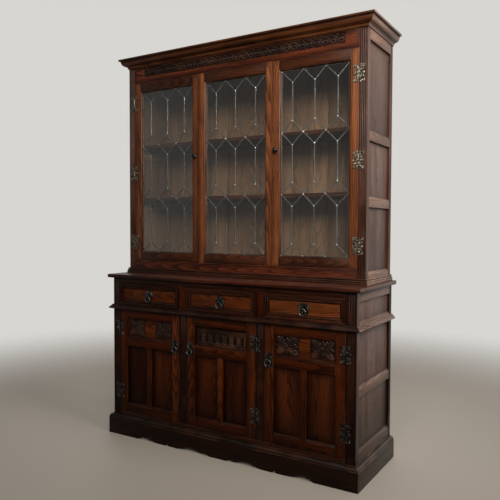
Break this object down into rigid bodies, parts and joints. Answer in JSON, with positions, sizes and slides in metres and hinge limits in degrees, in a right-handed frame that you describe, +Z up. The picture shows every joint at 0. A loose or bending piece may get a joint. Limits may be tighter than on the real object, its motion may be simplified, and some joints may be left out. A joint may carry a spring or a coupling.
{
  "type": "display cabinet",
  "caption": "Dark oak display cabinet: leaded glazed doors beside a fixed light above, drawers and panelled cupboards below, on a shaped plinth.",
  "frame": {"origin": "middle of the base, on the floor", "axes": "+X to the viewer's right facing the front, +Y to the back, +Z up"},
  "size_m": [1.365, 0.448, 1.9],
  "materials": {
    "oak": "satin",
    "dark_oak": "satin",
    "pine": "matte",
    "glass": "gloss",
    "lead": "satin",
    "antique_brass": "satin",
    "dark_brass": "satin"
  },
  "bodies": {
    "carcass": {"plinth": "dark_oak", "base_corner_posts": "dark_oak", "base_mullions": "dark_oak", "base_face_rails": "dark_oak", "base_side_frames": "oak", "base_side_panels": "oak", "base_back_panel": "pine", "base_case_boards": "oak", "drawer_runners": "pine", "cupboard_shelves": "oak", "waist_moulding": "dark_oak", "counter_top": "dark_oak", "display_foot_moulding": "dark_oak", "display_corner_posts": "oak", "display_face_rails": "oak", "display_side_frames": "oak", "display_side_panels": "oak", "display_back_boards": "oak", "display_case_boards": "oak", "display_shelves": "oak", "display_battens_and_stops": "pine", "fixed_light_frame": "oak", "fixed_light_glass": "glass", "fixed_light_leading": "lead", "cornice": "dark_oak", "display_jamb_hinges": "antique_brass", "cupboard_jamb_hinges": "antique_brass", "base_battens_and_stops": "pine"},
    "glazed door left": {"glazed_door_left_frame": "oak", "glazed_door_left_glass": "glass", "glazed_door_left_leading": "lead", "glazed_door_left_knob": "antique_brass", "glazed_door_left_hinges": "antique_brass"},
    "glazed door right": {"glazed_door_right_frame": "oak", "glazed_door_right_glass": "glass", "glazed_door_right_leading": "lead", "glazed_door_right_knob": "antique_brass", "glazed_door_right_hinges": "antique_brass"},
    "cupboard door left": {"cupboard_door_left_frame": "dark_oak", "cupboard_door_left_panels": "dark_oak", "cupboard_door_left_ironwork": "dark_brass"},
    "cupboard ring left": {"cupboard_ring_left": "dark_brass"},
    "cupboard door centre": {"cupboard_door_centre_frame": "dark_oak", "cupboard_door_centre_panels": "dark_oak", "cupboard_door_centre_ironwork": "dark_brass"},
    "cupboard ring centre": {"cupboard_ring_centre": "dark_brass"},
    "cupboard door right": {"cupboard_door_right_frame": "dark_oak", "cupboard_door_right_panels": "dark_oak", "cupboard_door_right_ironwork": "dark_brass"},
    "cupboard ring right": {"cupboard_ring_right": "dark_brass"},
    "drawer left": {"drawer_left_box": "oak", "drawer_left_plate": "dark_brass"},
    "drawer ring left": {"drawer_left_ring": "dark_brass"},
    "drawer centre": {"drawer_centre_box": "oak", "drawer_centre_plate": "dark_brass"},
    "drawer ring centre": {"drawer_centre_ring": "dark_brass"},
    "drawer right": {"drawer_right_box": "oak", "drawer_right_plate": "dark_brass"},
    "drawer ring right": {"drawer_right_ring": "dark_brass"}
  },
  "joints": [
    {"name": "glazed_door_left_hinge", "type": "hinge", "parent": "carcass", "child": "glazed door left", "pos_m": [-0.6064, -0.0933, 1.325], "axis": [0, 0, -1], "range_deg": [0, 165]},
    {"name": "glazed_door_right_hinge", "type": "hinge", "parent": "carcass", "child": "glazed door right", "pos_m": [0.6064, -0.0933, 1.325], "axis": [0, 0, 1], "range_deg": [0, 165]},
    {"name": "cupboard_door_left_hinge", "type": "hinge", "parent": "carcass", "child": "cupboard door left", "pos_m": [-0.6044, -0.2053, 0.372], "axis": [0, 0, -1], "range_deg": [0, 165]},
    {"name": "cupboard_door_centre_hinge", "type": "hinge", "parent": "carcass", "child": "cupboard door centre", "pos_m": [0.1864, -0.2053, 0.372], "axis": [0, 0, 1], "range_deg": [0, 120]},
    {"name": "cupboard_door_right_hinge", "type": "hinge", "parent": "carcass", "child": "cupboard door right", "pos_m": [0.6044, -0.2053, 0.372], "axis": [0, 0, 1], "range_deg": [0, 165]},
    {"name": "drawer_left_slide", "type": "slide", "parent": "carcass", "child": "drawer left", "axis": [0, -1, 0], "range_m": [0, 0.28]},
    {"name": "drawer_centre_slide", "type": "slide", "parent": "carcass", "child": "drawer centre", "axis": [0, -1, 0], "range_m": [0, 0.28]},
    {"name": "drawer_right_slide", "type": "slide", "parent": "carcass", "child": "drawer right", "axis": [0, -1, 0], "range_m": [0, 0.28]},
    {"name": "cupboard_ring_left_swing", "type": "hinge", "parent": "cupboard door left", "child": "cupboard ring left", "pos_m": [-0.2537, -0.214, 0.4852], "axis": [-1, 0, 0], "range_deg": [0, 85]},
    {"name": "cupboard_ring_centre_swing", "type": "hinge", "parent": "cupboard door centre", "child": "cupboard ring centre", "pos_m": [-0.1643, -0.214, 0.4852], "axis": [-1, 0, 0], "range_deg": [0, 85]},
    {"name": "cupboard_ring_right_swing", "type": "hinge", "parent": "cupboard door right", "child": "cupboard ring right", "pos_m": [0.2537, -0.214, 0.4852], "axis": [-1, 0, 0], "range_deg": [0, 85]},
    {"name": "drawer_ring_left_swing", "type": "hinge", "parent": "drawer left", "child": "drawer ring left", "pos_m": [-0.418, -0.214, 0.7135], "axis": [-1, 0, 0], "range_deg": [0, 85]},
    {"name": "drawer_ring_centre_swing", "type": "hinge", "parent": "drawer centre", "child": "drawer ring centre", "pos_m": [0, -0.214, 0.7135], "axis": [-1, 0, 0], "range_deg": [0, 85]},
    {"name": "drawer_ring_right_swing", "type": "hinge", "parent": "drawer right", "child": "drawer ring right", "pos_m": [0.418, -0.214, 0.7135], "axis": [-1, 0, 0], "range_deg": [0, 85]}
  ]
}
